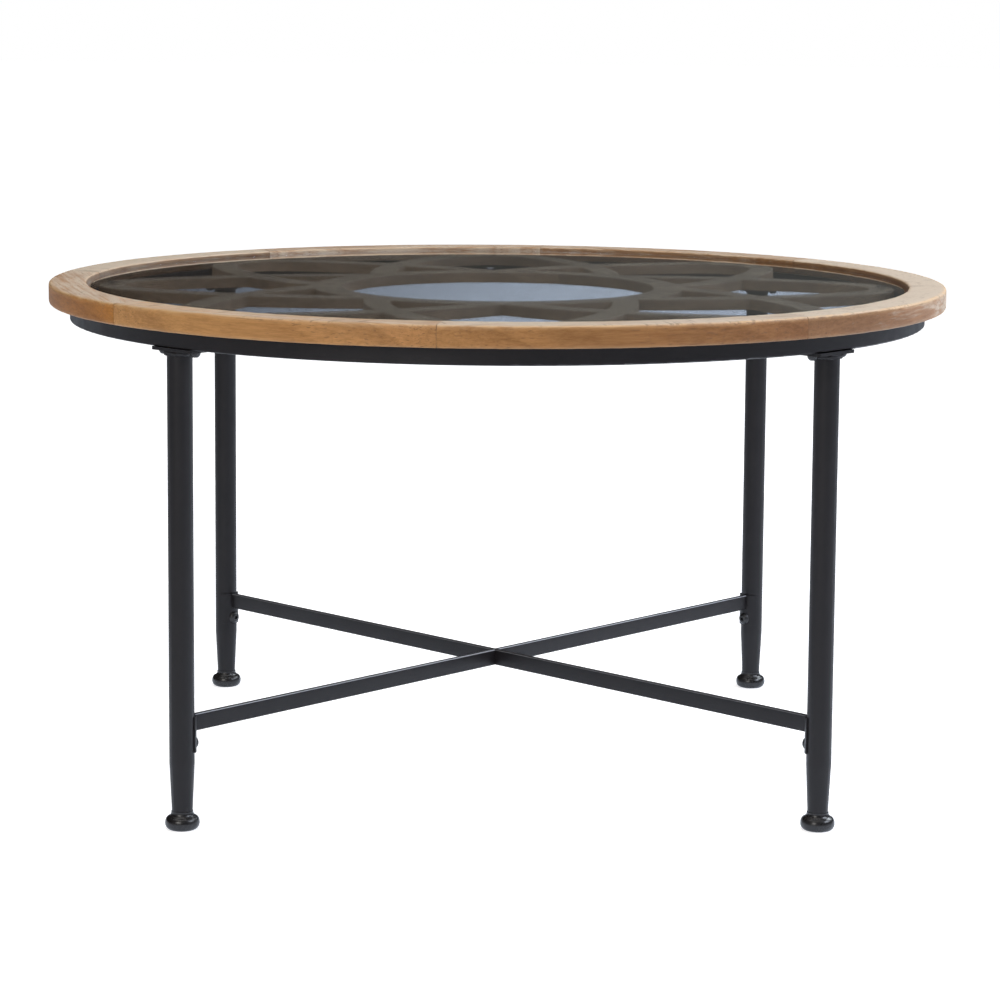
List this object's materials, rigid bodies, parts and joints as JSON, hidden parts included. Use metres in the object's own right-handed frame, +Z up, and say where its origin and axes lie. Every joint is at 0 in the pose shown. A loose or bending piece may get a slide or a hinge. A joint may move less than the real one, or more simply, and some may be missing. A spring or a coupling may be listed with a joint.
{
  "type": "round coffee table",
  "caption": "Round low table: a jointed wooden rim and a pierced rosette panel under a loose clear glass disc, on a black tube frame with tapered legs tied by crossed flat bars.",
  "frame": {"origin": "on the floor, at the middle of the table", "axes": "+Z up; the four legs stand on the diagonals between X and Y; petals of the panel point along +X and every 45 degrees from it; front is -Y"},
  "size_m": [0.9144, 0.9144, 0.4965],
  "materials": {
    "whitewashed_wood": "whitewashed, distressed, matte",
    "clear_glass": "clear, polished, ground edge",
    "clear_pad": "clear, soft",
    "black_powder_coat": "satin black powder coat",
    "foot_plastic": "glossy black",
    "black_fastener": "black, semi-gloss",
    "zinc_fastener": "zinc plated",
    "brass_insert": "turned"
  },
  "bodies": {
    "frame": {"rim_segment_1": "whitewashed_wood", "rim_segment_2": "whitewashed_wood", "rim_segment_3": "whitewashed_wood", "rim_segment_4": "whitewashed_wood", "rim_segment_5": "whitewashed_wood", "rim_segment_6": "whitewashed_wood", "rim_segment_7": "whitewashed_wood", "rim_segment_8": "whitewashed_wood", "lattice_panel": "whitewashed_wood", "glass_pads": "clear_pad", "frame_ring": "black_powder_coat", "lattice_brackets": "black_powder_coat", "leg_welds": "black_powder_coat", "stretcher_bar_lower": "black_powder_coat", "stretcher_bar_upper": "black_powder_coat", "leg_back_right": "black_powder_coat", "leg_plate_back_right": "black_powder_coat", "saddle_tab_back_right": "black_powder_coat", "foot_back_right": "foot_plastic", "leg_back_left": "black_powder_coat", "leg_plate_back_left": "black_powder_coat", "saddle_tab_back_left": "black_powder_coat", "foot_back_left": "foot_plastic", "leg_front_left": "black_powder_coat", "leg_plate_front_left": "black_powder_coat", "saddle_tab_front_left": "black_powder_coat", "foot_front_left": "foot_plastic", "leg_front_right": "black_powder_coat", "leg_plate_front_right": "black_powder_coat", "saddle_tab_front_right": "black_powder_coat", "foot_front_right": "foot_plastic", "plate_bolts": "black_fastener", "stretcher_bolts": "black_fastener", "rim_screws": "zinc_fastener", "lattice_screws": "zinc_fastener", "plate_nuts": "zinc_fastener", "leg_inserts": "brass_insert"},
    "glass": {"glass_top": "clear_glass"}
  },
  "joints": [
    {"name": "glass_lift", "type": "slide", "parent": "frame", "child": "glass", "axis": [0, 0, 1], "range_m": [0, 0.04]}
  ]
}
